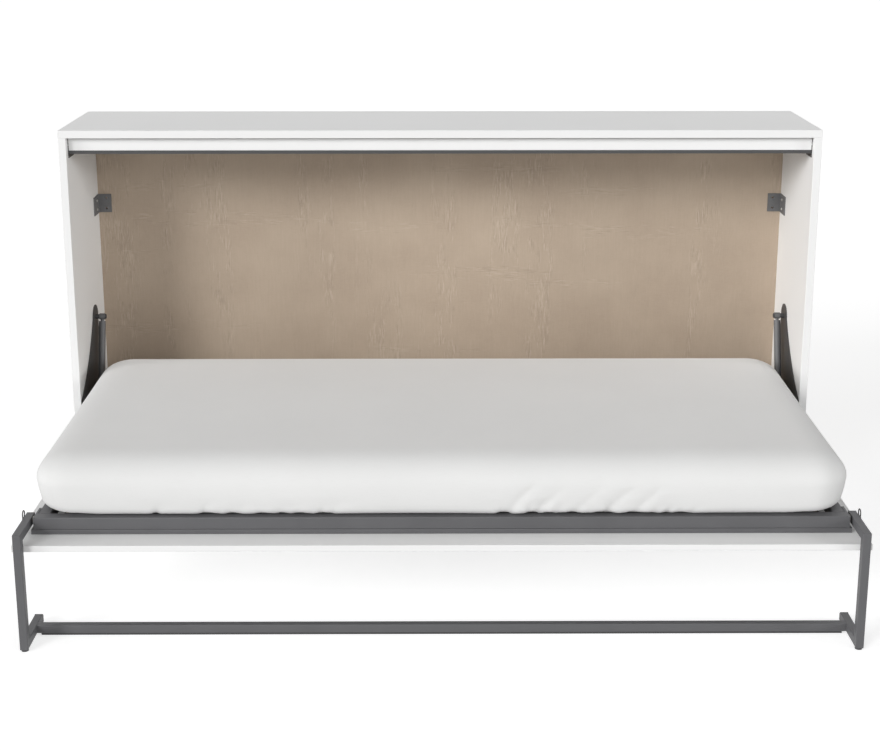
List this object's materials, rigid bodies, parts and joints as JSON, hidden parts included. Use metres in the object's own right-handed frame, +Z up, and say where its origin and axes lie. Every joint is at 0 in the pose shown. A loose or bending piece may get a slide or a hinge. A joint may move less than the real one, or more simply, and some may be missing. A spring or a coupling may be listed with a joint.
{
  "type": "horizontal cabinet bed",
  "caption": "Horizontal wall cabinet bed, folded open: white cabinet, slatted steel frame with a mattress in a fitted sheet, swinging leg frame and gas struts.",
  "frame": {"origin": "middle of the floor under the open bed, at the bottom centre of the bounding box", "axes": "+X along the cabinet, +Y towards the wall, +Z up"},
  "size_m": [2.13, 1.23, 1.156],
  "materials": {
    "white_board": "white melamine facing, satin",
    "back_board": "oak-look melamine facing, matt",
    "batten_wood": "white melamine facing, satin",
    "slat_wood": "varnished birch plywood",
    "dowel_wood": "plain beech",
    "anthracite_steel": "anthracite powder coat, fine texture",
    "bracket_steel": "dark grey powder coat",
    "bright_steel": "zinc plated",
    "strut_paint": "black gloss paint",
    "strut_chrome": "hard chrome",
    "black_steel": "black coating",
    "black_plastic": "moulded, matt",
    "nylon": "moulded nylon",
    "sheet_fabric": "white cotton fitted sheet over foam"
  },
  "bodies": {
    "cabinet": {"top_panel": "white_board", "side_panel_left": "white_board", "side_panel_right": "white_board", "floor_panel": "white_board", "back_panel": "back_board", "wall_rail_upper": "batten_wood", "wall_rail_lower": "batten_wood", "apron_panel": "white_board", "fascia_panel": "white_board", "levelling_feet": "black_plastic", "dowels": "dowel_wood", "cabinet_screws": "bright_steel", "fascia_strip": "bracket_steel", "strip_end_brackets": "bracket_steel", "wall_bracket_left": "bracket_steel", "wall_bracket_right": "bracket_steel", "mechanism_plate_left": "bracket_steel", "mechanism_plate_right": "bracket_steel", "hinge_pin_left": "bright_steel", "hinge_pin_right": "bright_steel", "strut_pin_left": "bright_steel", "strut_pin_right": "bright_steel"},
    "bed": {"door_panel": "white_board", "door_beam": "anthracite_steel", "fixing_strips": "anthracite_steel", "door_screws": "bright_steel", "front_rail": "anthracite_steel", "rear_rail": "anthracite_steel", "side_rail_left": "anthracite_steel", "side_rail_right": "anthracite_steel", "frame_end_plugs": "black_plastic", "cross_members": "anthracite_steel", "frame_bolts": "bright_steel", "slats": "slat_wood", "slat_holders": "black_plastic", "hinge_arm_left": "anthracite_steel", "hinge_arm_right": "anthracite_steel", "pivot_bracket_left": "anthracite_steel", "pivot_bracket_right": "anthracite_steel", "hinge_bushes": "nylon", "mattress": "sheet_fabric"},
    "leg": {"leg_upper_arm_left": "anthracite_steel", "leg_upper_arm_right": "anthracite_steel", "leg_post_left": "anthracite_steel", "leg_post_right": "anthracite_steel", "leg_foot_arm_left": "anthracite_steel", "leg_foot_arm_right": "anthracite_steel", "leg_crossbar": "anthracite_steel", "crossbar_pad": "black_plastic", "pivot_bushes": "nylon", "leg_caps": "black_plastic", "leg_glides": "black_plastic"},
    "bolt_left": {"pull_bolt_left": "black_steel"},
    "strut_left": {"strut_cylinder_left": "strut_paint"},
    "rod_left": {"strut_rod_left": "strut_chrome"},
    "bolt_right": {"pull_bolt_right": "black_steel"},
    "strut_right": {"strut_cylinder_right": "strut_paint"},
    "rod_right": {"strut_rod_right": "strut_chrome"}
  },
  "joints": [
    {"name": "bed_fold", "type": "hinge", "parent": "cabinet", "child": "bed", "pos_m": [0, 0.225, 0.242], "axis": [-1, 0, 0], "range_deg": [0, 90]},
    {"name": "leg_swing", "type": "hinge", "parent": "bed", "child": "leg", "pos_m": [0, -0.49, 0.295], "axis": [-1, 0, 0], "range_deg": [0, 180]},
    {"name": "lock_pin_left", "type": "slide", "parent": "leg", "child": "bolt_left", "axis": [-1, 0, 0], "range_m": [0, 0.004], "stiffness_N_per_m": 600},
    {"name": "strut_swing_left", "type": "hinge", "parent": "cabinet", "child": "strut_left", "pos_m": [-1.0205, 0.455, 0.556], "axis": [-1, 0, 0], "range_deg": [0, 4.9]},
    {"name": "strut_rod_left", "type": "slide", "parent": "strut_left", "child": "rod_left", "axis": [0, -0.2993, -0.9542], "range_m": [0, 0.2125]},
    {"name": "lock_pin_right", "type": "slide", "parent": "leg", "child": "bolt_right", "axis": [1, 0, 0], "range_m": [0, 0.004], "stiffness_N_per_m": 600},
    {"name": "strut_swing_right", "type": "hinge", "parent": "cabinet", "child": "strut_right", "pos_m": [1.0205, 0.455, 0.556], "axis": [-1, 0, 0], "range_deg": [0, 4.9]},
    {"name": "strut_rod_right", "type": "slide", "parent": "strut_right", "child": "rod_right", "axis": [0, -0.2993, -0.9542], "range_m": [0, 0.2125]}
  ],
  "couplings": [
    {"joint": "strut_swing_left", "follows": "bed_fold", "ratio": 0.052802},
    {"joint": "strut_rod_left", "follows": "bed_fold", "m_per_rad": 0.13472},
    {"joint": "strut_swing_right", "follows": "bed_fold", "ratio": 0.052802},
    {"joint": "strut_rod_right", "follows": "bed_fold", "m_per_rad": 0.13472}
  ]
}
